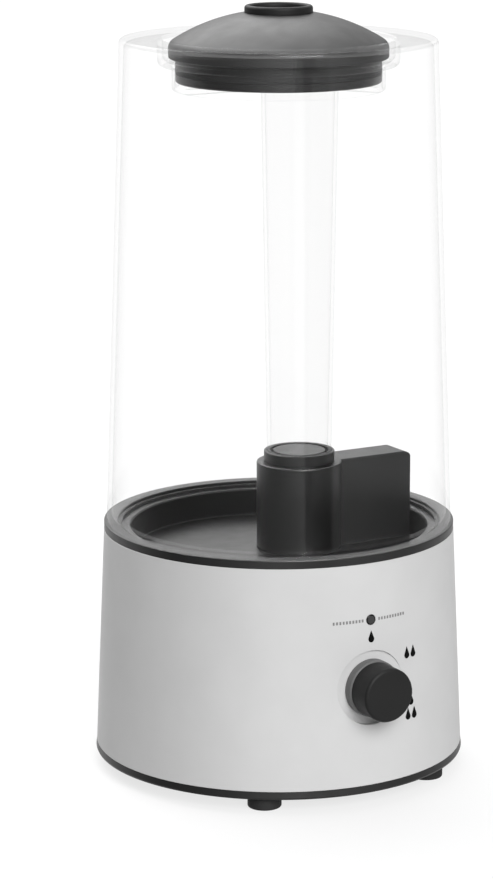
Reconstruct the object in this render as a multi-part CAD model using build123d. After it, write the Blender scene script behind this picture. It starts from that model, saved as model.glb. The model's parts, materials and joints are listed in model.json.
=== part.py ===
from build123d import *
import math
import os

# Cool mist humidifier: a conical base with a water basin, a clear open-bottomed tank that stands on
# the basin's ring, a clear mist tube, and a domed lid with a round nozzle.
# Millimetres, +Z up, the knob and lamp face -Y. Everything is built about the body's axis and moved
# by AXIS_Y when it is saved, so that the origin is the centre of the bounding box's underside.

# Overall
HEIGHT = 320.0
BASE_R = 78.0
FOOT_H = 5.5

# Base: bottom cover, shell and basin tray
BAND_TOP = 9.0
SHELL_R_LOW = 77.66
SHELL_R_TOP = 73.68
SHELL_TOP = 101.3
SHELL_WALL = 2.2
PLATE_TOP = 8.0
RING_R = 73.6
RING_TOP = 104.8
RING_INNER_R = 67.7
LEDGE_Z = 102.3
MOUTH_R = 62.3
BASIN_FLOOR = 91.0
FLOOR_T = 2.4
TRAY_UNDER = BASIN_FLOOR - FLOOR_T
BOSS_R = 64.0
BOSS_ANGLES = (45, 135, 225, 315)
BOSS_FOOT = 11.0
FOOT_XY = (39.0, 56.0)
FOOT_R = 7.0

# Mist chamber: round tower and rectangular duct box on the basin floor
TOWER_X = 10.0
TOWER_R = 18.0
TOWER_WALL = 2.0
TOWER_TOP = 128.2
GASKET_T = 0.8
TOWER_FOOT = BASIN_FLOOR + GASKET_T
BOX_END = 61.2
BOX_HALF = 7.8
BOX_WALL = 1.8
BOX_ROOF = 2.0
BOX_END_ROUND = 4.0
BOX_CORNER = 1.5
TOWER_EDGE = 0.6
TOWER_HOLE_R = 13.0
WATER_WINDOW_TOP = 101.0
AIR_WINDOW_LOW = 113.0
COLLAR_R = 14.9
COLLAR_TOP = 132.9
COLLAR_BORE = 12.4
TUBE_SEAT_R = 14.0
TUBE_SEAL_T = 0.8
GUARD_R = 10.9
GUARD_T = 1.2

# Air riser, fan and duct
RISER_X = 51.0
RISER_HALF = (4.5, 4.3)
RISER_WALL = 1.3
RISER_TOP = 121.0
SPIGOT_R = 7.8
FAN_X = 40.0
FAN_SIZE = 40.0
FAN_T = 10.0
FAN_BORE = 18.8
FAN_HOLE = 16.0
FAN_HUB_R = 9.4
FAN_TIP_R = 18.1
FAN_BLADES = 7
FAN_SHAFT_R = 1.0
DUCT_LOW_R = 19.4
DUCT_TOP_R = 9.4
DUCT_WALL = 1.4
DUCT_LOW = 22.0
DUCT_TOP = 80.0

# Ultrasonic transducer in its cup under the tower
CUP_R = 11.0
CUP_WALL = 2.2
CUP_FLOOR = 82.0
DISC_R = 10.0
DISC_Z = 77.0
DISC_T = 1.3
CLAMP_BORE = 8.9
CLAMP_R = 16.5
CLAMP_T = 2.0
SEAL_Z = (75.6, 79.6)
CLAMP_SCREW_R = 14.3
CLAMP_ANGLES = (90, 210, 330)
TOWER_SCREW_R = 15.2
TOWER_ANGLES = (30, 150, 270)

# Float and feed nozzle in the duct box
FLOAT_Z = 92.4
FLOAT_H = 12.0
FLOAT_X = (34.0, 44.0)
FLOAT_MIDDLE = (FLOAT_X[0] + FLOAT_X[1]) / 2
FLOAT_HALF = 5.0
FLOAT_TRAVEL = 8.0
FLOAT_ARM_X = 29.4
PAD_X = 31.0
PAD_TOP = 95.4
PAD_T = 1.0
MAGNET_R = 3.5
MAGNET_T = 2.5
NOZZLE_R = 1.9
NOZZLE_BORE = 0.9
NOZZLE_Z = 106.4

# Tank, neck and mist tube
TANK_R_LOW = 72.5
TANK_R_TOP = 65.4
TANK_LOW = 105.1
TANK_TOP = 306.6
TANK_WALL = 2.0
SKIRT_R = (65.9, 67.3)
SKIRT_LOW = 103.95
RECESS_R = 47.8
RECESS_Z = 297.2
NECK_R = 42.75
NECK_WALL = 1.15
NECK_LOW = 285.6
BRIDGE_T = 2.2
TUBE_LOW = 133.2
TUBE_TOP = 290.6
TUBE_R_LOW = 13.6
TUBE_R_TOP = 16.1
TUBE_WALL = 1.5
HUB_R = 19.0
BRIDGE_TURNS = (-60, 60, 180)
TUBE_GAP = 0.05

# Lid and nozzle; each dome is an arc through three points, given as (radius, z)
LID_RIM_Z = 298.5
LID_RIM_R = 45.3
LID_WALL = 2.2
LID_EDGE_Z = 302.8
DOME_EDGE = (44.6, 304.7)
DOME = ((43.0, 306.1), (29.5, 312.8), (14.15, 316.9))
DOME_INSIDE = ((41.6, 304.2), (28.8, 310.5), (14.4, 314.4))
PLUG_R = 42.4
PLUG_LOW = 288.7
PLUG_WALL = 2.6
PLUG_TOP = 302.0
SEAL_GROOVE = (292.0, 294.6)
NOZZLE_RING_R = 14.05
NOZZLE_HOLE_R = 11.4
NOZZLE_SPIGOT_R = 12.4
NOZZLE_LOW = 313.4
NOZZLE_SEAT = 316.4
LID_HOLE_R = 12.7

# Front controls
KNOB_Z = 49.7
KNOB_R = 11.2
KNOB_COLLAR_R = 11.8
KNOB_FRONT = 89.6
KNOB_BACK = 78.4
DISH_R = 15.5
DISH_Y = 74.1
PAD_INNER_Y = 71.4
SHAFT_R = 3.0
SHAFT_END = 87.0
SHAFT_FLAT = 2.0
BUSH_R = 3.5
BUSH_END = 77.0
RUN = 0.05
LAMP_Z = 78.0
LAMP_R = 2.2
LAMP_POSTS = (-5.0, 5.0)
LAMP_BOARD_Y = (-62.4, -61.0)
LED_R = 1.5
LED_FRONT = -65.2
MARK_R = 23.1
MARK_T = 0.12
DROP_W = 2.7
DROP_H = 5.0
TICK_PITCH = 1.4
TICKS = 10

# Rear power inlet
JACK_Z = 24.0
JACK_SEAT = 76.5
JACK_INNER = 73.4
JACK_END = 62.0
JACK_R = 5.0
JACK_FLANGE_R = 6.5
JACK_BORE = 2.75
JACK_BORE_END = 67.0

# Driver board
BOARD_Z = 18.0
BOARD_TOP = 19.6

# Screwdriver slots
SCREW_SLOT = 0.7

# Half of what the knob adds to the depth, so the origin is at the middle of the bounding box
AXIS_Y = (KNOB_FRONT - BASE_R) / 2


# ---------------------------------------------------------------- helpers

def shell_r(z):
    """Outer radius of the silver shell at height z."""
    share = (z - BAND_TOP) / (SHELL_TOP - BAND_TOP)
    return SHELL_R_LOW + (SHELL_R_TOP - SHELL_R_LOW) * share


def tank_r(z):
    """Outer radius of the tank's wall at height z."""
    share = (z - TANK_LOW) / (TANK_TOP - TANK_LOW)
    return TANK_R_LOW + (TANK_R_TOP - TANK_R_LOW) * share


def rod(radius, z0, z1, x=0.0, y=0.0):
    """Upright cylinder from z0 to z1."""
    return Pos(x, y, (z0 + z1) / 2) * Cylinder(radius, z1 - z0)


def pipe(outer, inner, z0, z1, x=0.0, y=0.0):
    """Upright tube from z0 to z1."""
    return rod(outer, z0, z1, x, y) - rod(inner, z0 - 1, z1 + 1, x, y)


def rod_y(radius, y0, y1, x=0.0, z=0.0):
    """Cylinder along Y from y0 to y1."""
    return Pos(x, (y0 + y1) / 2, z) * Rot(90, 0, 0) * Cylinder(radius, abs(y1 - y0))


def pipe_y(outer, inner, y0, y1, x=0.0, z=0.0):
    """Tube along Y from y0 to y1."""
    low, high = min(y0, y1), max(y0, y1)
    return rod_y(outer, low, high, x, z) - rod_y(inner, low - 1, high + 1, x, z)


def block(x0, x1, y0, y1, z0, z1):
    """Box between two corners."""
    return Pos((x0 + x1) / 2, (y0 + y1) / 2, (z0 + z1) / 2) * Box(x1 - x0, y1 - y0, z1 - z0)


def turned(points):
    """Solid of revolution about Z from a closed outline of (radius, z) points."""
    outline = Polyline(*[(r, 0, z) for r, z in points], close=True)
    return revolve(make_face(outline), Axis.Z)


def line(r0, z0, r1, z1):
    """Straight edge of an outline, between two (radius, z) points."""
    return Line((r0, 0, z0), (r1, 0, z1))


def arc(start, middle, end):
    """Curved edge of an outline, through three (radius, z) points."""
    return ThreePointArc(*[(r, 0, z) for r, z in (start, middle, end)])


def quarter(upright, level):
    """Quarter round of an outline, from the point where it runs upright to the one where it runs level."""
    share = math.sqrt(0.5)
    middle_r = level[0] + (upright[0] - level[0]) * share
    middle_z = upright[1] + (level[1] - upright[1]) * share
    return arc(upright, (middle_r, middle_z), level)


def turned_curve(*edges):
    """Solid of revolution about Z from the edges of a closed outline."""
    return revolve(make_face(Wire(edges)), Axis.Z)


def around(radius, angles, x=0.0, y=0.0):
    """Points on a circle, at angles in degrees."""
    return [(x + radius * math.cos(math.radians(a)), y + radius * math.sin(math.radians(a))) for a in angles]


def cross(reach, z0, z1, x, y):
    """Cross recess for a screwdriver."""
    slot = SCREW_SLOT / 2
    along_x = block(x - reach, x + reach, y - slot, y + slot, z0, z1)
    along_y = block(x - slot, x + slot, y - reach, y + reach, z0, z1)
    return along_x + along_y


def screws_up(places, head_r, head_h, shank_r, seat_z, length):
    """Pan-head screws driven upwards: the head hangs below seat_z, the shank rises above it."""
    solids = []
    for x, y in places:
        head = rod(head_r, seat_z - head_h, seat_z, x, y)
        head = head - cross(head_r * 0.7, seat_z - head_h, seat_z - head_h / 2, x, y)
        solids.append(head + rod(shank_r, seat_z - 0.1, seat_z + length, x, y))
    return solids


def screws_down(places, head_r, head_h, shank_r, seat_z, length):
    """Pan-head screws driven downwards: the head stands above seat_z, the shank goes below it."""
    solids = []
    for x, y in places:
        head = rod(head_r, seat_z, seat_z + head_h, x, y)
        head = head - cross(head_r * 0.7, seat_z + head_h / 2, seat_z + head_h, x, y)
        solids.append(head + rod(shank_r, seat_z - length, seat_z + 0.1, x, y))
    return solids


def save(name, shape):
    """Writes one node, from one shape or a list of separate solids."""
    shapes = shape if isinstance(shape, list) else [shape]
    solids = [s for one in shapes for s in one.solids()]
    moved = [s.moved(Location((0, AXIS_Y, 0))) for s in solids]
    whole = moved[0] if len(moved) == 1 else Compound(moved)
    whole.label = name
    export_step(whole, os.path.join("parts", name + ".step"))


# ---------------------------------------------------------------- base casing

def bottom_cover():
    lip_r = SHELL_R_LOW - SHELL_WALL - 0.25
    plate = turned([
        (0, FOOT_H), (BASE_R - 1.0, FOOT_H), (BASE_R - 0.3, FOOT_H + 0.3), (BASE_R, FOOT_H + 1.0),
        (SHELL_R_LOW, BAND_TOP), (lip_r, BAND_TOP), (lip_r, BAND_TOP + 3.5),
        (lip_r - 1.6, BAND_TOP + 3.5), (lip_r - 1.6, PLATE_TOP), (0, PLATE_TOP),
    ])
    for x, y in around(BOSS_R, BOSS_ANGLES):
        plate = plate + rod(4.6, PLATE_TOP - 0.5, BOSS_FOOT, x, y)
        plate = plate - rod(3.2, FOOT_H - 1, FOOT_H + 2.8, x, y)
        plate = plate - rod(1.7, FOOT_H, BOSS_FOOT + 1, x, y)
    for x, y in board_posts():
        plate = plate + rod(3.0, PLATE_TOP - 0.5, BOARD_Z, x, y)
        plate = plate - rod(1.05, PLATE_TOP + 1, BOARD_Z + 1, x, y)
    for x, y in foot_places():
        plate = plate - rod(FOOT_R + 0.2, FOOT_H - 1, FOOT_H + 0.8, x, y)
    for x, y in fan_holes():
        plate = plate - rod(1.55, FOOT_H + 0.8, PLATE_TOP + 1, x, y)
    for i in range(-2, 3):
        x = FAN_X + 6.2 * i
        half = 15.0 if abs(i) < 2 else 11.0
        plate = plate - block(x - 1.6, x + 1.6, -half, half, FOOT_H - 1, PLATE_TOP + 1)
    return plate


def board_posts():
    return [(x, y) for x in (-54.0, -10.0) for y in (-18.0, 18.0)]


def foot_places():
    return [(sx * FOOT_XY[0], sy * FOOT_XY[1]) for sx in (-1, 1) for sy in (-1, 1)]


def fan_holes():
    return [(FAN_X + sx * FAN_HOLE, sy * FAN_HOLE) for sx in (-1, 1) for sy in (-1, 1)]


def rubber_feet():
    feet = []
    for x, y in foot_places():
        foot = rod(FOOT_R, 0, FOOT_H + 0.8, x, y)
        foot = fillet(foot.edges().group_by(Axis.Z)[0], 0.9)
        feet.append(foot - rod(3.2, -1, 1.2, x, y))
    return feet


def outer_cone(extra=0.0):
    """Solid inside the shell's outer surface, grown by extra."""
    return turned([
        (0, BAND_TOP), (SHELL_R_LOW + extra, BAND_TOP), (SHELL_R_TOP + extra, SHELL_TOP), (0, SHELL_TOP),
    ])


def base_shell():
    cut = 0.15
    wall = turned([
        (SHELL_R_LOW - SHELL_WALL, BAND_TOP), (SHELL_R_LOW - cut, BAND_TOP),
        (shell_r(BAND_TOP + cut), BAND_TOP + cut), (shell_r(SHELL_TOP - cut), SHELL_TOP - cut),
        (SHELL_R_TOP - cut, SHELL_TOP), (SHELL_R_TOP - SHELL_WALL, SHELL_TOP),
    ])
    solid = outer_cone()
    wall = wall + (rod_y(DISH_R + 2.5, -BASE_R - 2, -PAD_INNER_Y, 0, KNOB_Z) & solid)
    wall = wall + (rod_y(9.5, JACK_INNER, BASE_R + 2, 0, JACK_Z) & solid)
    for x in LAMP_POSTS:
        wall = wall + rod_y(1.6, -DISH_Y, LAMP_BOARD_Y[0], x, LAMP_Z)
        wall = wall + rod_y(0.9, LAMP_BOARD_Y[0] - 0.6, LAMP_BOARD_Y[1] + 0.8, x, LAMP_Z)
    wall = wall - rod_y(DISH_R, -BASE_R - 5, -DISH_Y, 0, KNOB_Z)
    wall = wall - rod_y(BUSH_R + 0.1, -BASE_R, -PAD_INNER_Y + 1, 0, KNOB_Z)
    wall = wall - rod_y(LAMP_R + RUN, -BASE_R, -60, 0, LAMP_Z)
    wall = wall - rod_y(JACK_FLANGE_R + 0.4, JACK_SEAT, BASE_R + 5, 0, JACK_Z)
    return wall - rod_y(JACK_R + 0.1, JACK_INNER - 3, BASE_R, 0, JACK_Z)


def basin_tray():
    skirt_r = SHELL_R_TOP - SHELL_WALL - 0.2
    wall_r = MOUTH_R + 2.3
    tray = turned([
        (0, TRAY_UNDER), (wall_r - 0.5, TRAY_UNDER), (wall_r, TRAY_UNDER + 0.5), (wall_r, LEDGE_Z - 2.4),
        (skirt_r - 2.0, LEDGE_Z - 2.4), (skirt_r - 2.0, SHELL_TOP - 5.3), (skirt_r, SHELL_TOP - 5.3),
        (skirt_r, SHELL_TOP), (RING_R - 0.15, SHELL_TOP), (RING_R, SHELL_TOP + 0.15),
        (RING_R, RING_TOP - 0.35), (RING_R - 0.1, RING_TOP - 0.1), (RING_R - 0.35, RING_TOP),
        (RING_INNER_R + 0.3, RING_TOP), (RING_INNER_R, RING_TOP - 0.3), (RING_INNER_R, LEDGE_Z),
        (MOUTH_R + 0.5, LEDGE_Z), (MOUTH_R, LEDGE_Z - 0.5), (MOUTH_R - 0.3, BASIN_FLOOR + 0.8),
        (MOUTH_R - 0.4, BASIN_FLOOR + 0.3), (MOUTH_R - 0.7, BASIN_FLOOR), (0, BASIN_FLOOR),
    ])
    for x, y in around(BOSS_R, BOSS_ANGLES):
        tray = tray + rod(4.0, BOSS_FOOT, BASIN_FLOOR - 1.0, x, y)
        tray = tray - rod(1.55, BOSS_FOOT - 1, BOSS_FOOT + 14.0, x, y)
    cup_outer = CUP_R + CUP_WALL
    tray = tray + rod(cup_outer, SEAL_Z[1], TRAY_UNDER + 0.5, TOWER_X)
    tray = tray - rod(CUP_R, CUP_FLOOR, BASIN_FLOOR + 1, TOWER_X)
    tray = tray - rod(CLAMP_BORE - 0.1, SEAL_Z[1] - 1, CUP_FLOOR + 1, TOWER_X)
    for x, y in around(CLAMP_SCREW_R, CLAMP_ANGLES, TOWER_X):
        tray = tray + rod(2.2, SEAL_Z[0], TRAY_UNDER + 0.5, x, y)
        tray = tray - rod(1.05, SEAL_Z[0] - 1, SEAL_Z[0] + 8.0, x, y)
    for x, y in around(TOWER_SCREW_R, TOWER_ANGLES, TOWER_X):
        tray = tray - rod(1.15, TRAY_UNDER - 1, BASIN_FLOOR + 1, x, y)
    half_x, half_y = RISER_HALF
    grown_x, grown_y = half_x + RISER_WALL, half_y + RISER_WALL
    tray = tray + block(RISER_X - grown_x, RISER_X + grown_x, -grown_y, grown_y, BASIN_FLOOR - 1, RISER_TOP)
    tray = tray + rod(SPIGOT_R, DUCT_TOP + 2.0, TRAY_UNDER + 0.5, RISER_X)
    tray = tray - block(RISER_X - half_x, RISER_X + half_x, -half_y, half_y, DUCT_TOP, RISER_TOP + 1)
    return tray


def cover_screws():
    return screws_up(around(BOSS_R, BOSS_ANGLES), 2.9, 2.2, 1.5, FOOT_H + 2.8, 14.0)


# ---------------------------------------------------------------- mist chamber

def box_solid(grow, z0, z1):
    """The duct box's outline, grown or shrunk by grow, from the tower's axis to its far end."""
    end = BOX_END + grow
    half = BOX_HALF + grow
    corner = max(BOX_CORNER + grow, 0.4)
    plan = Pos((TOWER_X + end) / 2, 0) * RectangleRounded(end - TOWER_X, 2 * half, corner)
    upright = Pos(0, 0, z0) * extrude(plan, z1 - z0)
    top_round = max(BOX_END_ROUND + grow, 0.4)
    side = Polyline((TOWER_X, 0, z0), (end, 0, z0), (end, 0, z1), (TOWER_X, 0, z1), close=True)
    face = make_face(side)
    sheet = fillet(face.vertices().group_by(Axis.X)[-1].sort_by(Axis.Z)[-1], top_round)
    slab = extrude(sheet, amount=half + 1, dir=(0, 1, 0), both=True)
    return upright & slab


def long_bevel(side):
    """Cutter that takes the sharp edge off one long side of the duct box's roof."""
    edge = side * BOX_HALF
    inner = side * (BOX_HALF - TOWER_EDGE)
    outline = Polyline(
        (0, edge, TOWER_TOP - TOWER_EDGE), (0, edge + side, TOWER_TOP - TOWER_EDGE + 1),
        (0, edge + side, TOWER_TOP + 1), (0, inner, TOWER_TOP + 1), (0, inner, TOWER_TOP),
        close=True,
    )
    start = TOWER_X + TOWER_R - 2
    return Pos(start, 0, 0) * extrude(make_face(outline), amount=BOX_END - start + 1, dir=(1, 0, 0))


def tower_section():
    """Plan of the chamber's wall where it stands on the basin floor."""
    tower = Pos(TOWER_X, 0) * (Circle(TOWER_R) - Circle(TOWER_R - TOWER_WALL))
    outer = Pos((TOWER_X + BOX_END) / 2, 0) * RectangleRounded(BOX_END - TOWER_X, 2 * BOX_HALF, BOX_CORNER)
    inner_end = BOX_END - BOX_WALL
    inner_half = BOX_HALF - BOX_WALL
    inner = Pos((TOWER_X + inner_end) / 2, 0) * Rectangle(inner_end - TOWER_X, 2 * inner_half)
    walls = outer - inner - Pos(TOWER_X, 0) * Circle(TOWER_R)
    return tower + walls


def wall_window(half, z0, z1):
    """Cutter for a window between the round chamber and the duct box."""
    return block(TOWER_X + 12, TOWER_X + TOWER_R + 1, -half, half, z0, z1)


def mist_tower():
    inside_r = TOWER_R - TOWER_WALL
    roof = TOWER_TOP - BOX_ROOF
    drum = turned([
        (0, TOWER_FOOT), (TOWER_R, TOWER_FOOT), (TOWER_R, TOWER_TOP - TOWER_EDGE),
        (TOWER_R - TOWER_EDGE * 0.3, TOWER_TOP - TOWER_EDGE * 0.3), (TOWER_R - TOWER_EDGE, TOWER_TOP),
        (0, TOWER_TOP),
    ])
    tower = Pos(TOWER_X, 0, 0) * drum + box_solid(0, TOWER_FOOT, TOWER_TOP)
    for side in (-1, 1):
        tower = tower - long_bevel(side)
    tower = tower - rod(inside_r, TOWER_FOOT - 1, roof, TOWER_X)
    box_inside = box_solid(-BOX_WALL, TOWER_FOOT - 1, roof)
    tower = tower - (box_inside - rod(TOWER_R, TOWER_FOOT - 2, roof + 1, TOWER_X))
    tower = tower - wall_window(4, TOWER_FOOT - 1, WATER_WINDOW_TOP)
    tower = tower - wall_window(5, AIR_WINDOW_LOW, roof - 0.7)
    tower = tower - rod(TOWER_HOLE_R, roof - 1, TOWER_TOP + 1, TOWER_X)
    for x, y in around(TOWER_SCREW_R, TOWER_ANGLES, TOWER_X):
        tower = tower + rod(1.9, TOWER_FOOT, TOWER_FOOT + 8.0, x, y)
        tower = tower - rod(1.05, TOWER_FOOT - 1, TOWER_FOOT + 7.0, x, y)
    tower = tower - rod_y(NOZZLE_R, 0, BOX_HALF + 1, PAD_X, NOZZLE_Z)
    return tower


def tower_gasket():
    ring = Pos(0, 0, BASIN_FLOOR) * extrude(tower_section(), GASKET_T)
    for x, y in around(TOWER_SCREW_R, TOWER_ANGLES, TOWER_X):
        ring = ring - rod(1.15, BASIN_FLOOR - 1, TOWER_FOOT + 1, x, y)
    return ring - wall_window(4, BASIN_FLOOR - 1, TOWER_FOOT + 1)


def tower_screws():
    return screws_up(around(TOWER_SCREW_R, TOWER_ANGLES, TOWER_X), 1.7, 1.4, 1.0, TRAY_UNDER, 9.0)


def tower_collar():
    seat = COLLAR_TOP - TUBE_SEAL_T
    collar = turned([
        (COLLAR_BORE, TOWER_TOP), (COLLAR_R, TOWER_TOP), (COLLAR_R, COLLAR_TOP - 0.3),
        (COLLAR_R - 0.3, COLLAR_TOP), (TUBE_SEAT_R, COLLAR_TOP), (TUBE_SEAT_R, seat), (COLLAR_BORE, seat),
    ])
    collar = collar + pipe(TOWER_HOLE_R - 0.1, COLLAR_BORE - 1.2, TOWER_TOP - 4.0, TOWER_TOP)
    return Pos(TOWER_X, 0, 0) * collar


def tube_seal():
    return pipe(TUBE_SEAT_R, COLLAR_BORE, COLLAR_TOP - TUBE_SEAL_T, COLLAR_TOP, TOWER_X)


def splash_guard():
    under = COLLAR_TOP - GUARD_T
    guard = rod(GUARD_R, under, COLLAR_TOP) + rod(5.6, TOWER_TOP, under + 0.2)
    for turn in (0, 120, 240):
        guard = guard + Rot(0, 0, turn) * block(5.0, COLLAR_BORE - 0.1, -0.7, 0.7, TOWER_TOP, under)
    return Pos(TOWER_X, 0, 0) * guard


def feed_nozzle():
    nozzle = rod_y(NOZZLE_R, 0, BOX_HALF + 0.2, PAD_X, NOZZLE_Z)
    nozzle = nozzle + rod_y(3.0, BOX_HALF, BOX_HALF + 1.0, PAD_X, NOZZLE_Z)
    nozzle = nozzle + Pos(PAD_X, 0, NOZZLE_Z) * Sphere(NOZZLE_R)
    nozzle = nozzle + rod(NOZZLE_R, PAD_TOP + FLOAT_TRAVEL + 0.3, NOZZLE_Z, PAD_X)
    nozzle = nozzle - rod_y(NOZZLE_BORE, 0, BOX_HALF + 2, PAD_X, NOZZLE_Z)
    return nozzle - rod(NOZZLE_BORE, PAD_TOP, NOZZLE_Z, PAD_X)


# ---------------------------------------------------------------- float

def float_block():
    body = block(FLOAT_X[0], FLOAT_X[1], -FLOAT_HALF, FLOAT_HALF, FLOAT_Z, FLOAT_Z + FLOAT_H)
    body = fillet(body.edges().filter_by(Axis.Z), 1.0)
    body = body + block(FLOAT_ARM_X, FLOAT_X[0] + 1, -2.5, 2.5, FLOAT_Z, PAD_TOP - PAD_T)
    return body - rod(MAGNET_R, FLOAT_Z - 1, FLOAT_Z + MAGNET_T, FLOAT_MIDDLE)


def float_magnet():
    return rod(MAGNET_R, FLOAT_Z, FLOAT_Z + MAGNET_T, FLOAT_MIDDLE)


def valve_pad():
    return rod(1.5, PAD_TOP - PAD_T, PAD_TOP, PAD_X)


def reed_switch():
    return block(FLOAT_MIDDLE - 3.5, FLOAT_MIDDLE + 1.3, -7, 7, TRAY_UNDER - 3.8, TRAY_UNDER)


# ---------------------------------------------------------------- transducer

def transducer():
    disc = rod(DISC_R, DISC_Z, DISC_Z + DISC_T, TOWER_X)
    return disc + rod(2.4, DISC_Z - 1.0, DISC_Z + 0.1, TOWER_X)


def transducer_seal():
    seal = pipe(DISC_R + 1.6, CLAMP_BORE, SEAL_Z[0], SEAL_Z[1], TOWER_X)
    return seal - rod(DISC_R, DISC_Z, DISC_Z + DISC_T, TOWER_X)


def transducer_clamp():
    clamp = pipe(CLAMP_R, CLAMP_BORE, SEAL_Z[0] - CLAMP_T, SEAL_Z[0], TOWER_X)
    for x, y in around(CLAMP_SCREW_R, CLAMP_ANGLES, TOWER_X):
        clamp = clamp - rod(1.15, SEAL_Z[0] - CLAMP_T - 1, SEAL_Z[0] + 1, x, y)
    return clamp


def clamp_screws():
    return screws_up(around(CLAMP_SCREW_R, CLAMP_ANGLES, TOWER_X), 1.9, 1.4, 1.0, SEAL_Z[0] - CLAMP_T, 8.5)


# ---------------------------------------------------------------- fan and duct

def fan_frame():
    z0, z1 = PLATE_TOP, PLATE_TOP + FAN_T
    half = FAN_SIZE / 2
    frame = block(-half, half, -half, half, z0, z1)
    frame = fillet(frame.edges().filter_by(Axis.Z), 3.0)
    frame = frame - rod(FAN_BORE, z0 - 1, z1 + 1)
    for turn in (0, 90, 180, 270):
        frame = frame + Rot(0, 0, turn + 45) * block(7.0, FAN_BORE + 1.0, -1.0, 1.0, z0, z0 + 1.6)
    frame = frame + rod(FAN_HUB_R - 0.8, z0, z0 + 2.0)
    frame = frame - rod(FAN_SHAFT_R + RUN, z0 - 1, z0 + 3)
    for sx in (-1, 1):
        for sy in (-1, 1):
            frame = frame - rod(1.75, z0 - 1, z1 + 1, sx * FAN_HOLE, sy * FAN_HOLE)
    return Pos(FAN_X, 0, 0) * frame


def fan_impeller():
    z0, z1 = PLATE_TOP + 2.6, PLATE_TOP + FAN_T - 0.6
    skin = z1 - 1.4
    wheel = rod(FAN_HUB_R, z0, z1)
    blade = Pos((FAN_HUB_R + FAN_TIP_R) / 2, 0, (z0 + z1) / 2) * Rot(38, 0, 0) * Box(FAN_HUB_R, 8.2, 1.1)
    for i in range(FAN_BLADES):
        wheel = wheel + Rot(0, 0, i * 360 / FAN_BLADES) * blade
    wheel = wheel & rod(FAN_TIP_R, z0, z1)
    wheel = wheel - pipe(FAN_HUB_R - 1.4, 2.6, z0 - 1, skin)
    wheel = wheel - rod(FAN_SHAFT_R, z0 - 1, skin)
    return Pos(FAN_X, 0, 0) * wheel


def fan_shaft():
    return rod(FAN_SHAFT_R, PLATE_TOP + 0.3, PLATE_TOP + FAN_T - 2.0, FAN_X)


def fan_screws():
    return screws_down(fan_holes(), 2.6, 1.8, 1.5, PLATE_TOP + FAN_T + 2.0, 13.2)


def duct_core(shrink, z0, z1):
    """Solid that follows the duct: round over the fan, a leaning cone, then round under the riser."""
    low_r, top_r = DUCT_LOW_R - shrink, DUCT_TOP_R - shrink
    cone = loft([Pos(FAN_X, 0, DUCT_LOW) * Circle(low_r), Pos(RISER_X, 0, DUCT_TOP) * Circle(top_r)])
    return rod(low_r, z0, DUCT_LOW, FAN_X) + cone + rod(top_r, DUCT_TOP, z1, RISER_X)


def air_duct():
    foot = PLATE_TOP + FAN_T
    half = FAN_SIZE / 2
    plate = block(-half, half, -half, half, foot, foot + 2.0)
    plate = Pos(FAN_X, 0, 0) * fillet(plate.edges().filter_by(Axis.Z), 3.0)
    duct = plate + duct_core(0, foot + 1.0, DUCT_TOP + 6.5)
    duct = duct - duct_core(DUCT_WALL, foot - 1.0, DUCT_TOP + 8.0)
    for x, y in fan_holes():
        duct = duct - rod(1.75, foot - 1, foot + 3, x, y)
    return duct


# ---------------------------------------------------------------- electronics

def driver_board():
    board = block(-60, -4, -24, 24, BOARD_Z, BOARD_TOP)
    board = fillet(board.edges().filter_by(Axis.Z), 2.0)
    for x, y in board_posts():
        board = board - rod(1.2, BOARD_Z - 1, BOARD_TOP + 1, x, y)
    return board


def board_screws():
    return screws_down(board_posts(), 2.0, 1.5, 1.0, BOARD_TOP, 8.0)


def board_parts():
    """Two capacitors, a coil, two connectors and an inlet filter, standing on the board."""
    top = BOARD_TOP
    coil = pipe(6.0, 3.0, top, top + 7.0, -32.0, 12.0)
    return [
        rod(5.0, top, top + 16.0, -18.0, 6.0),
        rod(4.0, top, top + 12.0, -18.0, -8.0),
        fillet(coil.edges(), 0.8),
        block(-50, -38, 16, 22, top, top + 7.0),
        block(-30, -20, -22, -16, top, top + 6.0),
        block(-58, -52, -6, 6, top, top + 8.0),
    ]


def heat_sink():
    x0, x1 = -50, -28
    y0, pitch, fin = -12, 3.3, 1.5
    sink = block(x0, x1, y0, y0 + 5 * pitch + fin, BOARD_TOP, BOARD_TOP + 3.0)
    for i in range(6):
        y = y0 + pitch * i
        sink = sink + block(x0, x1, y, y + fin, BOARD_TOP + 2.5, BOARD_TOP + 18.0)
    return sink


def lamp_lens():
    front = shell_r(LAMP_Z) + 0.35
    lens = rod_y(LAMP_R, -front, LED_FRONT - LED_R - 0.3, 0, LAMP_Z)
    edge = lens.edges().filter_by(GeomType.CIRCLE).sort_by(Axis.Y)[0]
    return fillet(edge, 0.5)


def lamp_board():
    y0, y1 = LAMP_BOARD_Y
    board = block(-8, 8, y0, y1, LAMP_Z - 6, LAMP_Z + 6)
    for x in LAMP_POSTS:
        board = board - rod_y(1.0, y0 - 1, y1 + 1, x, LAMP_Z)
    return board


def lamp_led():
    seat = LAMP_BOARD_Y[0]
    led = rod_y(LED_R, LED_FRONT, seat, 0, LAMP_Z)
    led = led + rod_y(LED_R + 0.4, seat - 1.0, seat, 0, LAMP_Z)
    return led + Pos(0, LED_FRONT, LAMP_Z) * Sphere(LED_R)


def dc_jack():
    half = 4.4
    jack = rod_y(JACK_R, JACK_END, JACK_SEAT + 1.0, 0, JACK_Z)
    jack = jack + rod_y(JACK_FLANGE_R, JACK_SEAT, JACK_SEAT + 1.0, 0, JACK_Z)
    jack = jack + block(-half, half, JACK_END - 2, JACK_END + 2, JACK_Z - half, JACK_Z + half)
    return jack - rod_y(JACK_BORE, JACK_BORE_END, BASE_R + 1, 0, JACK_Z)


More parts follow.
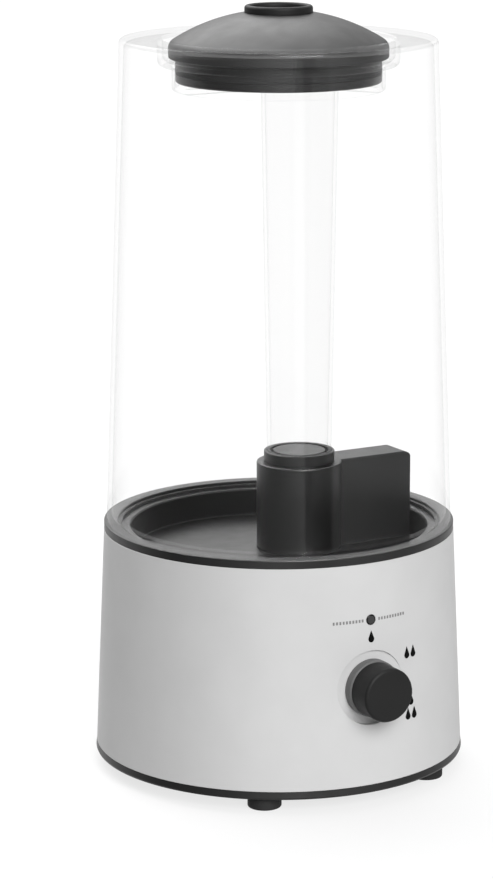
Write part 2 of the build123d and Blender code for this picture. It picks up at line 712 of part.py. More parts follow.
def jack_pin():
    pin = rod_y(1.0, JACK_BORE_END, JACK_SEAT - 0.5, 0, JACK_Z)
    return fillet(pin.edges().filter_by(GeomType.CIRCLE).sort_by(Axis.Y)[-1], 0.4)


def jack_nut():
    hexagon = RegularPolygon(7.0, 6)
    nut = Pos(0, JACK_INNER, JACK_Z) * Rot(90, 0, 0) * extrude(hexagon, 2.0)
    return nut - rod_y(JACK_R + 0.02, JACK_INNER - 3, JACK_INNER + 1, 0, JACK_Z)


# ---------------------------------------------------------------- knob and marks

def potentiometer():
    pot = rod_y(8.2, -PAD_INNER_Y, -63.0, 0, KNOB_Z)
    pot = pot + rod_y(BUSH_R, -BUSH_END, -PAD_INNER_Y + 1, 0, KNOB_Z)
    pot = pot + block(-6, 6, -68.0, -66.4, KNOB_Z - 14, KNOB_Z - 6)
    return pot - rod_y(SHAFT_R + RUN, -78, -62, 0, KNOB_Z)


def pot_nut():
    hexagon = RegularPolygon(5.8, 6)
    nut = Pos(0, -DISH_Y, KNOB_Z) * Rot(90, 0, 0) * extrude(hexagon, 2.0)
    return nut - rod_y(BUSH_R + 0.02, -DISH_Y - 3, -DISH_Y + 1, 0, KNOB_Z)


def pot_shaft():
    shaft = rod_y(SHAFT_R, -SHAFT_END, -62.6, 0, KNOB_Z)
    return shaft - block(-4, 4, -SHAFT_END - 1, -BUSH_END - 1, KNOB_Z + SHAFT_FLAT, KNOB_Z + 4)


def knob_cap():
    cap = rod_y(KNOB_R, -KNOB_FRONT, -KNOB_BACK, 0, KNOB_Z)
    front = cap.edges().filter_by(GeomType.CIRCLE).sort_by(Axis.Y)[0]
    cap = fillet(front, 1.3)
    cap = cap - pipe_y(KNOB_R - 1.8, 5.2, -SHAFT_END - 0.4, -KNOB_BACK + 1, 0, KNOB_Z)
    bore = rod_y(SHAFT_R + 0.02, -SHAFT_END - 0.02, -KNOB_BACK + 1, 0, KNOB_Z)
    return cap - (bore - block(-4, 4, -KNOB_FRONT, -BUSH_END, KNOB_Z + SHAFT_FLAT + 0.02, KNOB_Z + 4))


def knob_collar():
    collar = pipe_y(KNOB_COLLAR_R, 7.6, -KNOB_BACK, -DISH_Y - 0.3, 0, KNOB_Z)
    rim = collar.edges().filter_by(GeomType.CIRCLE).sort_by(Axis.Y)[0:2].sort_by(SortBy.RADIUS)[-1]
    return chamfer(rim, 0.5)


def drop(x, z):
    """Water-drop shape centred at x, z and swept along Y through the front wall."""
    r = DROP_W / 2
    rise = DROP_H - r
    low = z - DROP_H / 2 + r
    touch = math.acos(r / rise)
    side_x, side_z = r * math.sin(touch), low + r * math.cos(touch)
    y = -BASE_R - 10
    tip = Polyline((x - side_x, side_z), (x, low + rise), (x + side_x, side_z), (x, low), close=True)
    upright = Pos(0, y, 0) * Rot(90, 0, 0) * make_face(tip)
    return rod_y(r, y, -60, x, low) + extrude(upright, amount=28, dir=(0, 1, 0))


def print_layer():
    """Thin skin just outside the shell's surface."""
    return outer_cone(MARK_T) - outer_cone()


def level_marks():
    layer = print_layer()
    pair_x = MARK_R * math.sin(math.radians(60))
    pair_z = KNOB_Z + MARK_R * math.cos(math.radians(60))
    three_z = KNOB_Z - MARK_R * math.cos(math.radians(60))
    places = [
        (0, KNOB_Z + 21.4),
        (pair_x - 1.8, pair_z), (pair_x + 1.8, pair_z),
        (pair_x + 0.2, three_z + 3.1), (pair_x - 1.6, three_z - 2.8), (pair_x + 2.0, three_z - 2.8),
    ]
    return [drop(x, z) & layer for x, z in places]


def lamp_marks():
    """Plain ticks beside the lamp, where a legend would be printed."""
    layer = print_layer()
    ticks = []
    for side in (-1, 1):
        for i in range(TICKS):
            x = side * (LAMP_R + 1.7 + TICK_PITCH * i)
            ticks.append(block(x - 0.35, x + 0.35, -90, -60, LAMP_Z - 0.6, LAMP_Z + 0.6) & layer)
    return ticks


# ---------------------------------------------------------------- tank

def tank_gasket():
    return pipe(RING_INNER_R - 0.02, SKIRT_R[0] + 0.1, LEDGE_Z, LEDGE_Z + 1.3)


def tank_shell():
    """Wall, top with recess and neck, and bottom flange with the skirt that enters the ring."""
    flange = TANK_LOW + 1.5
    low_in = TANK_R_LOW - TANK_WALL
    top_in = TANK_TOP - 2.2
    neck_out = NECK_R + NECK_WALL
    shoulder = 1.6
    lip = 0.8
    bend = 2.6
    floor_under = RECESS_Z - 1.8
    recess_out = RECESS_R + 2.0
    outer_top = tank_r(TANK_TOP - shoulder)
    inner_top = outer_top - TANK_WALL
    return turned_curve(
        line(SKIRT_R[0], SKIRT_LOW, SKIRT_R[1], SKIRT_LOW),
        line(SKIRT_R[1], SKIRT_LOW, SKIRT_R[1], TANK_LOW),
        line(SKIRT_R[1], TANK_LOW, TANK_R_LOW, TANK_LOW),
        line(TANK_R_LOW, TANK_LOW, outer_top, TANK_TOP - shoulder),
        quarter((outer_top, TANK_TOP - shoulder), (outer_top - shoulder, TANK_TOP)),
        line(outer_top - shoulder, TANK_TOP, RECESS_R + lip, TANK_TOP),
        quarter((RECESS_R, TANK_TOP - lip), (RECESS_R + lip, TANK_TOP)),
        line(RECESS_R, TANK_TOP - lip, RECESS_R, RECESS_Z + bend),
        quarter((RECESS_R, RECESS_Z + bend), (RECESS_R - bend, RECESS_Z)),
        line(RECESS_R - bend, RECESS_Z, NECK_R + 0.6, RECESS_Z),
        line(NECK_R + 0.6, RECESS_Z, NECK_R, RECESS_Z - 0.6),
        line(NECK_R, RECESS_Z - 0.6, NECK_R, NECK_LOW),
        line(NECK_R, NECK_LOW, neck_out - 0.4, NECK_LOW),
        line(neck_out - 0.4, NECK_LOW, neck_out, NECK_LOW + 0.4),
        line(neck_out, NECK_LOW + 0.4, neck_out, floor_under),
        line(neck_out, floor_under, recess_out - 2.4, floor_under),
        quarter((recess_out, floor_under + 2.4), (recess_out - 2.4, floor_under)),
        line(recess_out, floor_under + 2.4, recess_out, top_in),
        line(recess_out, top_in, inner_top - 0.8, top_in),
        line(inner_top - 0.8, top_in, inner_top, top_in - 0.9),
        line(inner_top, top_in - 0.9, low_in, flange + 1.0),
        line(low_in, flange + 1.0, low_in - 0.8, flange),
        line(low_in - 0.8, flange, SKIRT_R[0], flange),
        line(SKIRT_R[0], flange, SKIRT_R[0], SKIRT_LOW),
    )


def tube_bridge():
    """Hub round the tube's top, on three arms that are bonded inside the neck's foot."""
    top = NECK_LOW + BRIDGE_T
    bridge = rod(HUB_R, NECK_LOW, top, TOWER_X)
    reach = rod(NECK_R - 0.02, NECK_LOW - 1, top + 1)
    for turn in BRIDGE_TURNS:
        arm = Pos(TOWER_X, 0, 0) * Rot(0, 0, turn) * block(0, 60, -2.0, 2.0, NECK_LOW, top)
        bridge = bridge + (arm & reach)
    low_r, top_r = TUBE_R_LOW + TUBE_GAP, TUBE_R_TOP + TUBE_GAP
    bore = turned([(0, TUBE_LOW), (low_r, TUBE_LOW), (top_r, TUBE_TOP), (0, TUBE_TOP)])
    return bridge - Pos(TOWER_X, 0, 0) * bore


def mist_tube():
    tube = turned([
        (TUBE_R_LOW - TUBE_WALL, TUBE_LOW), (TUBE_R_LOW, TUBE_LOW),
        (TUBE_R_TOP, TUBE_TOP), (TUBE_R_TOP - TUBE_WALL, TUBE_TOP),
    ])
    return Pos(TOWER_X, 0, 0) * tube


# ---------------------------------------------------------------- lid

def lid_cap():
    rim_in = LID_RIM_R - LID_WALL
    ring_gap = NOZZLE_RING_R + 0.1
    under = DOME_INSIDE[-1][1]
    return turned_curve(
        line(rim_in, LID_RIM_Z, LID_RIM_R - 0.8, LID_RIM_Z),
        quarter((LID_RIM_R, LID_RIM_Z + 0.8), (LID_RIM_R - 0.8, LID_RIM_Z)),
        line(LID_RIM_R, LID_RIM_Z + 0.8, LID_RIM_R, LID_EDGE_Z),
        arc((LID_RIM_R, LID_EDGE_Z), DOME_EDGE, DOME[0]),
        arc(*DOME),
        line(*DOME[-1], ring_gap, NOZZLE_SEAT),
        line(ring_gap, NOZZLE_SEAT, LID_HOLE_R, NOZZLE_SEAT),
        line(LID_HOLE_R, NOZZLE_SEAT, LID_HOLE_R, under),
        line(LID_HOLE_R, under, *DOME_INSIDE[-1]),
        arc(*DOME_INSIDE),
        line(*DOME_INSIDE[0], rim_in, PLUG_TOP),
        line(rim_in, PLUG_TOP, rim_in, LID_RIM_Z),
    )


def lid_plug():
    """Ring that hangs into the tank's neck; its flange is glued inside the cap's rim."""
    inner = PLUG_R - PLUG_WALL
    flange_r = LID_RIM_R - LID_WALL - 0.02
    flange_z = LID_RIM_Z + 0.9
    top = PLUG_TOP - 0.05
    low, high = SEAL_GROOVE
    groove_r = PLUG_R - 1.3
    return turned([
        (inner, PLUG_LOW), (PLUG_R - 0.5, PLUG_LOW), (PLUG_R, PLUG_LOW + 0.5), (PLUG_R, low),
        (groove_r, low), (groove_r, high), (PLUG_R, high), (PLUG_R, flange_z),
        (flange_r, flange_z), (flange_r, top), (inner, top),
    ])


def lid_seal():
    low, high = SEAL_GROOVE
    middle = (low + high) / 2
    inner, outer = PLUG_R - 1.3, PLUG_R + 0.05
    return turned([
        (inner, low + 0.02), (outer - 0.15, low + 0.1), (outer, middle - 0.5),
        (outer, middle + 0.5), (outer - 0.15, high - 0.1), (inner, high - 0.02),
    ])


def nozzle_ring():
    middle = (NOZZLE_RING_R + NOZZLE_HOLE_R) / 2
    belly = HEIGHT - (NOZZLE_RING_R - NOZZLE_HOLE_R) / 2
    foot = NOZZLE_RING_R - 0.3
    return turned_curve(
        line(NOZZLE_HOLE_R, NOZZLE_LOW, NOZZLE_SPIGOT_R, NOZZLE_LOW),
        line(NOZZLE_SPIGOT_R, NOZZLE_LOW, NOZZLE_SPIGOT_R, NOZZLE_SEAT),
        line(NOZZLE_SPIGOT_R, NOZZLE_SEAT, foot, NOZZLE_SEAT),
        line(foot, NOZZLE_SEAT, NOZZLE_RING_R, NOZZLE_SEAT + 0.7),
        line(NOZZLE_RING_R, NOZZLE_SEAT + 0.7, NOZZLE_RING_R, belly),
        arc((NOZZLE_RING_R, belly), (middle, HEIGHT), (NOZZLE_HOLE_R, belly)),
        line(NOZZLE_HOLE_R, belly, NOZZLE_HOLE_R, NOZZLE_LOW),
    )


# ---------------------------------------------------------------- write every node

NODES = {
    "bottom_cover": bottom_cover,
    "rubber_feet": rubber_feet,
    "base_shell": base_shell,
    "basin_tray": basin_tray,
    "cover_screws": cover_screws,
    "mist_tower": mist_tower,
    "tower_gasket": tower_gasket,
    "tower_screws": tower_screws,
    "tower_collar": tower_collar,
    "tube_seal": tube_seal,
    "splash_guard": splash_guard,
    "feed_nozzle": feed_nozzle,
    "float_block": float_block,
    "float_magnet": float_magnet,
    "valve_pad": valve_pad,
    "reed_switch": reed_switch,
    "transducer": transducer,
    "transducer_seal": transducer_seal,
    "transducer_clamp": transducer_clamp,
    "clamp_screws": clamp_screws,
    "fan_frame": fan_frame,
    "fan_impeller": fan_impeller,
    "fan_shaft": fan_shaft,
    "fan_screws": fan_screws,
    "air_duct": air_duct,
    "driver_board": driver_board,
    "board_screws": board_screws,
    "board_parts": board_parts,
    "heat_sink": heat_sink,
    "lamp_lens": lamp_lens,
    "lamp_board": lamp_board,
    "lamp_led": lamp_led,
    "dc_jack": dc_jack,
    "jack_pin": jack_pin,
    "jack_nut": jack_nut,
    "potentiometer": potentiometer,
    "pot_nut": pot_nut,
    "pot_shaft": pot_shaft,
    "knob_cap": knob_cap,
    "knob_collar": knob_collar,
    "level_marks": level_marks,
    "lamp_marks": lamp_marks,
    "tank_gasket": tank_gasket,
    "tank_shell": tank_shell,
    "tube_bridge": tube_bridge,
    "mist_tube": mist_tube,
    "lid_cap": lid_cap,
    "lid_plug": lid_plug,
    "lid_seal": lid_seal,
    "nozzle_ring": nozzle_ring,
}

os.makedirs("parts", exist_ok=True)
for node, make in NODES.items():
    save(node, make())
print(f"{len(NODES)} nodes, axis at y = {AXIS_Y:.2f}")
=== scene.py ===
import json
import math

import bpy
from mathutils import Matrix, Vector


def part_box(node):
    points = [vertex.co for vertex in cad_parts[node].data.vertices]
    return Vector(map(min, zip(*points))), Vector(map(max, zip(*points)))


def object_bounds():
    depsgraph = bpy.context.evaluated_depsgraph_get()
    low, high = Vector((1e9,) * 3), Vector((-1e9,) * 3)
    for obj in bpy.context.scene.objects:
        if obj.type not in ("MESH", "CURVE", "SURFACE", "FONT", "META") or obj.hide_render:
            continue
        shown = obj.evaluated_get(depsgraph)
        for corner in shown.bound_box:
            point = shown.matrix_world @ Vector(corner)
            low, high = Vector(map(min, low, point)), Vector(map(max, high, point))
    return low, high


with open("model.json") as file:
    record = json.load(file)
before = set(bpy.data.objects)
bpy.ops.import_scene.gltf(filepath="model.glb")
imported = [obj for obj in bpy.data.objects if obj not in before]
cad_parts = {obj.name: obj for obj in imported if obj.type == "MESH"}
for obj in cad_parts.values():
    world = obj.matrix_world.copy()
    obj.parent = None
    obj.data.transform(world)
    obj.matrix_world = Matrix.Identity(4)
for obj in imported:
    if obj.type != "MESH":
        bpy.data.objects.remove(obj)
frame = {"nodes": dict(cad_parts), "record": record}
CAD_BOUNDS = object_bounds()
NODES = frame["nodes"]
MICRON = 1e-6

# ---------------------------------------------------------------- places, in metres, from the frame

SHELL_LOW, SHELL_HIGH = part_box("base_shell")
AXIS_Y = (SHELL_LOW.y + SHELL_HIGH.y) / 2
FLOOR_Z = CAD_BOUNDS[0].z

# ---------------------------------------------------------------- camera

# The camera stands 30 degrees round from the front, towards -X, and looks down a little
VIEW_TURN = math.radians(30)
VIEW_PITCH = math.radians(12.56)
VIEW_DISTANCE = 1.343
VIEW_HEIGHT = 0.4375
VIEW_END = 100
LENS = 134.2
SENSOR_WIDTH = 36
SHIFT = -0.0366

# The most clear layers that one ray goes straight through
CLEAR_LAYERS = 32

FORWARD = Vector((math.sin(VIEW_TURN), math.cos(VIEW_TURN), 0))
RIGHT = Vector((math.cos(VIEW_TURN), -math.sin(VIEW_TURN), 0))


def add_camera():
    data = bpy.data.cameras.new("camera")
    data.lens = LENS
    data.sensor_width = SENSOR_WIDTH
    data.shift_x = SHIFT
    data.clip_end = VIEW_END
    camera = bpy.data.objects.new("camera", data)
    bpy.context.collection.objects.link(camera)
    camera.location = Vector((0, AXIS_Y, VIEW_HEIGHT)) - FORWARD * VIEW_DISTANCE
    camera.rotation_euler = (math.pi / 2 - VIEW_PITCH, 0, -VIEW_TURN)
    bpy.context.scene.camera = camera


def set_view():
    scene = bpy.context.scene
    scene.view_settings.view_transform = "Standard"
    scene.view_settings.look = "None"
    scene.cycles.transparent_max_bounces = CLEAR_LAYERS


# ---------------------------------------------------------------- node helpers

NOISE_ROUGHNESS = 0.55


def grey(value):
    return (value, value, value, 1)


def add_node(tree, kind, **values):
    """Adds a node. A key that names an input, with underscores for spaces, sets it; others are properties.

    Where several inputs share a name, the key sets the first of them.
    """
    node = tree.nodes.new(kind)
    inputs = {socket.name.replace(" ", "_"): socket for socket in reversed(node.inputs)}
    for key, value in values.items():
        if key in inputs:
            inputs[key].default_value = value
        else:
            setattr(node, key, value)
    return node


def new_material(name):
    material = bpy.data.materials.new(name)
    material.use_nodes = True
    tree = material.node_tree
    tree.nodes.clear()
    output = tree.nodes.new("ShaderNodeOutputMaterial")
    return material, tree, output


def new_shader(name, **values):
    """A material whose surface is one Principled shader, with those values on its inputs."""
    material, tree, output = new_material(name)
    shader = add_node(tree, "ShaderNodeBsdfPrincipled", **values)
    tree.links.new(shader.outputs["BSDF"], output.inputs["Surface"])
    return material, tree, shader


def math_node(tree, operation, *values):
    """A Math node on one to three values, each a socket or a number."""
    node = add_node(tree, "ShaderNodeMath", operation=operation)
    for socket, value in zip(node.inputs, values):
        if isinstance(value, (int, float)):
            socket.default_value = value
        else:
            tree.links.new(value, socket)
    return node.outputs[0]


def dot_with(tree, ray, vector):
    node = add_node(tree, "ShaderNodeVectorMath", operation="DOT_PRODUCT")
    tree.links.new(ray, node.inputs[0])
    node.inputs[1].default_value = vector
    return node.outputs["Value"]


def spread(tree, socket, low, high, from_low=0.3, from_high=0.7, shape="LINEAR"):
    """The socket's range from from_low to from_high, stretched to run from low to high."""
    node = add_node(tree, "ShaderNodeMapRange", interpolation_type=shape,
                    From_Min=from_low, From_Max=from_high, To_Min=low, To_Max=high)
    tree.links.new(socket, node.inputs["Value"])
    return node.outputs["Result"]


def mix_colours(tree, factor, first, second):
    node = add_node(tree, "ShaderNodeMix", data_type="RGBA")
    sockets = [socket for socket in node.inputs if socket.type == "RGBA"]
    sockets[0].default_value = first
    sockets[1].default_value = second
    tree.links.new(factor, node.inputs[0])
    return [socket for socket in node.outputs if socket.type == "RGBA"][0]


def mix_shaders(tree, factor, first, second):
    node = add_node(tree, "ShaderNodeMixShader")
    for socket, value in zip(node.inputs, (factor, first, second)):
        tree.links.new(value, socket)
    return node.outputs[0]


def own_space(tree):
    """Where a point lies in its object's own space, in metres."""
    return add_node(tree, "ShaderNodeTexCoord").outputs["Object"]


def noise(tree, scale, detail=3, stretch=None):
    """Noise over the object's own space, in cycles per metre, as a 0 to 1 socket."""
    place = own_space(tree)
    if stretch:
        mapping = add_node(tree, "ShaderNodeMapping", Scale=stretch)
        tree.links.new(place, mapping.inputs["Vector"])
        place = mapping.outputs["Vector"]
    texture = add_node(tree, "ShaderNodeTexNoise", Scale=scale, Detail=detail, Roughness=NOISE_ROUGHNESS)
    tree.links.new(place, texture.inputs["Vector"])
    return texture.outputs["Fac"]


def set_bump(tree, shader, height, distance):
    node = add_node(tree, "ShaderNodeBump", Strength=1.0, Distance=distance)
    tree.links.new(height, node.inputs["Height"])
    tree.links.new(node.outputs["Normal"], shader.inputs["Normal"])


def set_roughness(tree, shader, cloud, rough, wander):
    """Roughness that follows the cloud, up to wander each side of rough."""
    tree.links.new(spread(tree, cloud, rough - wander, rough + wander), shader.inputs["Roughness"])


# ---------------------------------------------------------------- materials

# Noise is in cycles per metre, a wander is in roughness, and a depth is in metres. Rubber's dark and pale
# patches are shares of its colour, and foam's middle and wall are greys
PLASTIC_DRIFT = 35
PLASTIC_CLOUD = 120
PLASTIC_GRAIN = 1800
PLASTIC_WANDER = 0.04
PLASTIC_DEPTH = 8 * MICRON
COAT_ROUGHNESS = 0.2

METAL_GRAIN = 900
METAL_WANDER = 0.08
METAL_DEPTH = 10 * MICRON

RUBBER_PATCHES = 60
RUBBER_CLOUD = 300
RUBBER_GRAIN = 2500
RUBBER_WANDER = 0.06
RUBBER_DEPTH = 30 * MICRON
RUBBER_DARK = 0.8
RUBBER_PALE = 1.3

FOAM_CELLS = 900
FOAM_DEPTH = 100 * MICRON
FOAM_MIDDLE = 0.66
FOAM_WALL = 0.8

TRACK_SCALE = 160
TRACK_WIDTH = 0.03
TRACK_DEPTH = 40 * MICRON
LACQUER = (0.02, 0.13, 0.05, 1)
LACQUER_LIGHT = (0.025, 0.16, 0.06, 1)
LACQUER_ON_COPPER = (0.05, 0.24, 0.09, 1)

# Clear plastic reflects MIRROR_LOW of what it mirrors where it faces the eye, and more towards its edges
MIRROR_LOW = 0.01
MIRROR_RISE = 0.3
MIRROR_POWER = 5
EDGE_POWER = 8

# Greys of the lens's middle and rim, and the shares of its radius between which one turns into the other
LENS_MIDDLE = 0.035
LENS_RIM = 0.003
LENS_MIDDLE_END = 0.66
LENS_RIM_START = 0.8


def plastic(name, dark, light, rough, grain=PLASTIC_GRAIN, depth=PLASTIC_DEPTH, specular=0.5, coat=0.0):
    """Moulded plastic: a fine grain, slow colour drift, and roughness that wanders a little."""
    material, tree, shader = new_shader(name, IOR=1.5, Specular_IOR_Level=specular,
                                        Coat_Weight=coat, Coat_Roughness=COAT_ROUGHNESS)
    drift = spread(tree, noise(tree, PLASTIC_DRIFT, 4), 0, 1)
    tree.links.new(mix_colours(tree, drift, grey(dark), grey(light)), shader.inputs["Base Color"])
    set_roughness(tree, shader, noise(tree, PLASTIC_CLOUD), rough, PLASTIC_WANDER)
    set_bump(tree, shader, noise(tree, grain, 2), depth)
    return material


def clear_plastic(name, through, haze, edge, edge_colour):
    """Clear moulding: light goes straight through, a weak mirror comes on top, and edges turn grey."""
    material, tree, output = new_material(name)
    open_part = add_node(tree, "ShaderNodeBsdfTransparent", Color=grey(through)).outputs[0]
    mirror = add_node(tree, "ShaderNodeBsdfGlossy", Color=grey(1.0), Roughness=0.02).outputs[0]
    body = add_node(tree, "ShaderNodeBsdfPrincipled", Base_Color=grey(edge_colour), Roughness=0.25, IOR=1.49)
    facing = add_node(tree, "ShaderNodeLayerWeight", Blend=0.5).outputs["Facing"]
    shine = math_node(tree, "POWER", facing, MIRROR_POWER)
    shine = math_node(tree, "MULTIPLY_ADD", shine, MIRROR_RISE, MIRROR_LOW)
    thick = math_node(tree, "POWER", facing, EDGE_POWER)
    thick = math_node(tree, "MULTIPLY_ADD", thick, edge, haze)
    glass = mix_shaders(tree, shine, open_part, mirror)
    tree.links.new(mix_shaders(tree, thick, glass, body.outputs[0]), output.inputs["Surface"])
    return material


def metal(name, colour, rough, stretch=None):
    """Bare or plated metal, with a fine turned or drawn grain."""
    material, tree, shader = new_shader(name, Base_Color=grey(colour), Metallic=1.0)
    lines = noise(tree, METAL_GRAIN, 4, stretch)
    set_roughness(tree, shader, lines, rough, METAL_WANDER)
    set_bump(tree, shader, lines, METAL_DEPTH)
    return material


def rubber(name, colour, rough):
    """Rubber: patches a little darker and paler than its colour, and a matt grain."""
    material, tree, shader = new_shader(name, IOR=1.45)
    patches = spread(tree, noise(tree, RUBBER_PATCHES, 5), 0, 1)
    shade = mix_colours(tree, patches, grey(colour * RUBBER_DARK), grey(colour * RUBBER_PALE))
    tree.links.new(shade, shader.inputs["Base Color"])
    set_roughness(tree, shader, noise(tree, RUBBER_CLOUD), rough, RUBBER_WANDER)
    set_bump(tree, shader, noise(tree, RUBBER_GRAIN, 2), RUBBER_DEPTH)
    return material


def circuit_board(name):
    """Green lacquer over faint copper tracks."""
    material, tree, shader = new_shader(name, Roughness=0.3, IOR=1.5)
    tracks = add_node(tree, "ShaderNodeTexBrick", Scale=TRACK_SCALE, Mortar_Size=TRACK_WIDTH,
                      Color1=LACQUER, Color2=LACQUER_LIGHT, Mortar=LACQUER_ON_COPPER)
    tree.links.new(own_space(tree), tracks.inputs["Vector"])
    tree.links.new(tracks.outputs["Color"], shader.inputs["Base Color"])
    set_bump(tree, shader, tracks.outputs["Fac"], TRACK_DEPTH)
    return material


def foam(name):
    """Closed-cell foam: pale cells with a slightly darker middle."""
    material, tree, shader = new_shader(name, Roughness=0.8)
    cells = add_node(tree, "ShaderNodeTexVoronoi", Scale=FOAM_CELLS)
    tree.links.new(own_space(tree), cells.inputs["Vector"])
    shade = mix_colours(tree, cells.outputs["Distance"], grey(FOAM_MIDDLE), grey(FOAM_WALL))
    tree.links.new(shade, shader.inputs["Base Color"])
    set_bump(tree, shader, cells.outputs["Distance"], FOAM_DEPTH)
    return material


def lamp_lens(name):
    """Smoked lens with a black rim and a paler middle, round the lamp's own axis."""
    material, tree, shader = new_shader(name, Roughness=0.25, IOR=1.5)
    low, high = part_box("lamp_lens")
    middle = (low + high) / 2
    radius = (high.x - low.x) / 2
    parts = add_node(tree, "ShaderNodeSeparateXYZ")
    tree.links.new(own_space(tree), parts.inputs[0])
    across = math_node(tree, "SUBTRACT", parts.outputs["X"], middle.x)
    up = math_node(tree, "SUBTRACT", parts.outputs["Z"], middle.z)
    across_squared = math_node(tree, "MULTIPLY", across, across)
    up_squared = math_node(tree, "MULTIPLY", up, up)
    away = math_node(tree, "SQRT", math_node(tree, "ADD", across_squared, up_squared))
    rim = spread(tree, away, 0, 1, radius * LENS_MIDDLE_END, radius * LENS_RIM_START)
    tree.links.new(mix_colours(tree, rim, grey(LENS_MIDDLE), grey(LENS_RIM)), shader.inputs["Base Color"])
    return material


# A plastic has its darker grey, its paler grey and its roughness; metal and rubber, one grey and roughness
MATERIALS = {
    "shell_silver": plastic("silver_paint", 0.57, 0.60, 0.42, grain=2600, depth=12 * MICRON),
    "dark_plastic": plastic("charcoal_plastic", 0.009, 0.012, 0.36, specular=0.55),
    "lid_plastic": plastic("lid_grain_plastic", 0.018, 0.023, 0.46, depth=12 * MICRON, specular=0.46),
    "knob_plastic": plastic("knob_satin_plastic", 0.013, 0.016, 0.52, specular=0.22),
    "collar_grey": plastic("collar_grey_plastic", 0.12, 0.14, 0.45),
    "component_dark": plastic("component_plastic", 0.02, 0.03, 0.5),
    "print_black": plastic("black_ink", 0.001, 0.002, 0.6, depth=4 * MICRON, specular=0.1),
    "print_grey": plastic("grey_ink", 0.20, 0.24, 0.6, depth=4 * MICRON, specular=0.2),
    "lens_smoke": lamp_lens("smoked_lens"),
    "led_clear": plastic("led_epoxy", 0.55, 0.62, 0.12, depth=2 * MICRON, coat=0.6),
    "tank_clear": clear_plastic("tank_clear_plastic", through=0.998, haze=0.001, edge=0.14, edge_colour=0.45),
    "tube_clear": clear_plastic("tube_clear_plastic", through=0.99, haze=0.004, edge=0.2, edge_colour=0.55),
    "silicone": rubber("silicone_rubber", 0.25, 0.55),
    "dark_rubber": rubber("black_rubber", 0.014, 0.75),
    "steel": metal("zinc_steel", 0.55, 0.34),
    "shaft_metal": metal("turned_shaft", 0.62, 0.28, stretch=(1, 8, 1)),
    "aluminium": metal("extruded_aluminium", 0.72, 0.36, stretch=(0.1, 1, 1)),
    "disc_metal": metal("plated_disc", 0.64, 0.22),
    "magnet": metal("dull_magnet", 0.12, 0.6),
    "pot_body": metal("pressed_can", 0.5, 0.35),
    "foam_white": foam("closed_cell_foam"),
    "board_green": circuit_board("lacquered_board"),
}


def dress_nodes():
    """Gives every CAD node the finished material of its slot."""
    for row in frame["record"]["subparts"]:
        node = NODES[row["node"]]
        material = MATERIALS[row["material_slot"]]
        for slot in node.material_slots:
            slot.material = material


# ---------------------------------------------------------------- floor and main light

FLOOR_RADIUS = 14.0
FLOOR_STEPS = 96
FLOOR_COLOUR = 0.2
FLOOR_GLOW = 0.75

# Keeps the floor's face clear of the feet that stand on it
FLOOR_DROP = 0.0002

# Turn and height in degrees, as in direction()
KEY_TURN = 20
KEY_HEIGHT = 30
KEY_ENERGY = 2.95
KEY_ANGLE = math.radians(35)


def add_floor():
    """A pale floor that catches soft shadows. It stays out of reflections, which show the studio instead."""
    points = [(0, 0, 0)]
    for i in range(FLOOR_STEPS):
        turn = 2 * math.pi * i / FLOOR_STEPS
        points.append((FLOOR_RADIUS * math.cos(turn), FLOOR_RADIUS * math.sin(turn), 0))
    faces = [(0, 1 + i, 1 + (i + 1) % FLOOR_STEPS) for i in range(FLOOR_STEPS)]
    mesh = bpy.data.meshes.new("floor")
    mesh.from_pydata(points, [], faces)
    floor = bpy.data.objects.new("floor", mesh)
    bpy.context.collection.objects.link(floor)
    floor.location.z = FLOOR_Z - FLOOR_DROP
    floor.visible_glossy = False
    floor.visible_diffuse = False
    material, _, _ = new_shader("floor_white", Base_Color=grey(FLOOR_COLOUR), Roughness=0.9,
                                Emission_Color=grey(1.0), Emission_Strength=FLOOR_GLOW,
                                Specular_IOR_Level=0.0)
    mesh.materials.append(material)


def direction(turn, height):
    """Unit vector towards a light, turn degrees round to the camera's right and height degrees up."""
    turn = math.radians(turn)
    height = math.radians(height)
    level = -FORWARD * math.cos(turn) + RIGHT * math.sin(turn)
    return level * math.cos(height) + Vector((0, 0, math.sin(height)))


def add_key():
    """The main light, a broad one from above and to the camera's right."""
    data = bpy.data.lights.new("key", "SUN")
    data.energy = KEY_ENERGY
    data.angle = KEY_ANGLE
    key = bpy.data.objects.new("key", data)
    bpy.context.collection.objects.link(key)
    key.rotation_euler = direction(KEY_TURN, KEY_HEIGHT).to_track_quat("Z", "Y").to_euler()


# ---------------------------------------------------------------- studio

# Wide bright panels of the studio: turn and height in degrees, inner and outer half-angle, brightness
PANELS = (
    (-150, 52, 12, 42, 3.7),
    (165, 40, 5, 40, 0.8),
    (-150, 12, 10, 50, 0.2),
    (0, 90, 10, 50, 0.4),
)
ROOM = 0.18

# What shows behind the floor's far edge in a low view
BACKDROP = 1.05

# Below eye level the studio is a ring of walls: turn in degrees, and how bright the wall is there
WALLS = (
    (-180, 0.9), (-110, 0.7), (-85, 0.2), (-67, 0.12), (-34, 0.34), (-8, 0.75), (17, 0.95),
    (17.5, 0.01), (36, 0.01), (36.5, 0.85), (90, 0.4), (115, 0.6), (180, 0.9),
)

# The walls give way to the panels over this much of a ray's rise, each side of level
BLEND = 0.1


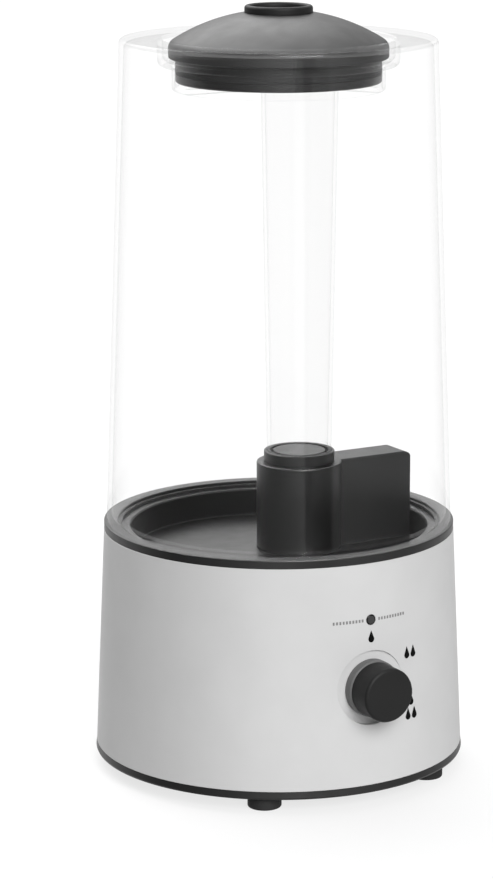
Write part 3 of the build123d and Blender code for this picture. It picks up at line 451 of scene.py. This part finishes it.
def panel_light(tree, ray):
    """How bright the upper studio is along a ray: the room, and each panel with a soft edge."""
    light = ROOM
    for turn, height, inner, outer, brightness in PANELS:
        towards = dot_with(tree, ray, direction(turn, height))
        edge = math.cos(math.radians(outer))
        full = math.cos(math.radians(inner))
        light = math_node(tree, "ADD", light, spread(tree, towards, 0, brightness, edge, full, "SMOOTHSTEP"))
    return light


def wall_light(tree, ray):
    """How bright the ring of walls is along a ray, by the way it turns from the camera's side."""
    across = dot_with(tree, ray, RIGHT)
    towards_camera = dot_with(tree, ray, -FORWARD)
    turn = math_node(tree, "ARCTAN2", across, towards_camera)
    share = math_node(tree, "MULTIPLY_ADD", turn, 1 / (2 * math.pi), 0.5)
    ramp = add_node(tree, "ShaderNodeValToRGB")
    elements = ramp.color_ramp.elements
    elements.remove(elements[1])
    elements[0].color = grey(WALLS[0][1])
    for degrees, brightness in WALLS[1:]:
        elements.new(degrees / 360 + 0.5).color = grey(brightness)
    tree.links.new(share, ramp.inputs["Fac"])
    return ramp.outputs["Color"]


def add_world():
    """A soft studio, all drawn in the world: bright panels above, a ring of walls below."""
    world = bpy.data.worlds.new("studio")
    bpy.context.scene.world = world
    world.use_nodes = True
    tree = world.node_tree
    tree.nodes.clear()
    ray = add_node(tree, "ShaderNodeTexCoord").outputs["Generated"]
    rise = spread(tree, dot_with(tree, ray, (0, 0, 1)), 0, 1, -BLEND, BLEND, "SMOOTHSTEP")
    above = math_node(tree, "MULTIPLY", panel_light(tree, ray), rise)
    below = math_node(tree, "MULTIPLY", wall_light(tree, ray), math_node(tree, "SUBTRACT", 1.0, rise))
    studio = add_node(tree, "ShaderNodeBackground", Color=grey(1.0))
    tree.links.new(math_node(tree, "ADD", above, below), studio.inputs["Strength"])
    backdrop = add_node(tree, "ShaderNodeBackground", Color=grey(1.0), Strength=BACKDROP)
    seen = add_node(tree, "ShaderNodeLightPath").outputs["Is Camera Ray"]
    both = mix_shaders(tree, seen, studio.outputs[0], backdrop.outputs[0])
    output = add_node(tree, "ShaderNodeOutputWorld")
    tree.links.new(both, output.inputs["Surface"])


# ---------------------------------------------------------------- build

add_camera()
set_view()
dress_nodes()
add_floor()
add_key()
add_world()
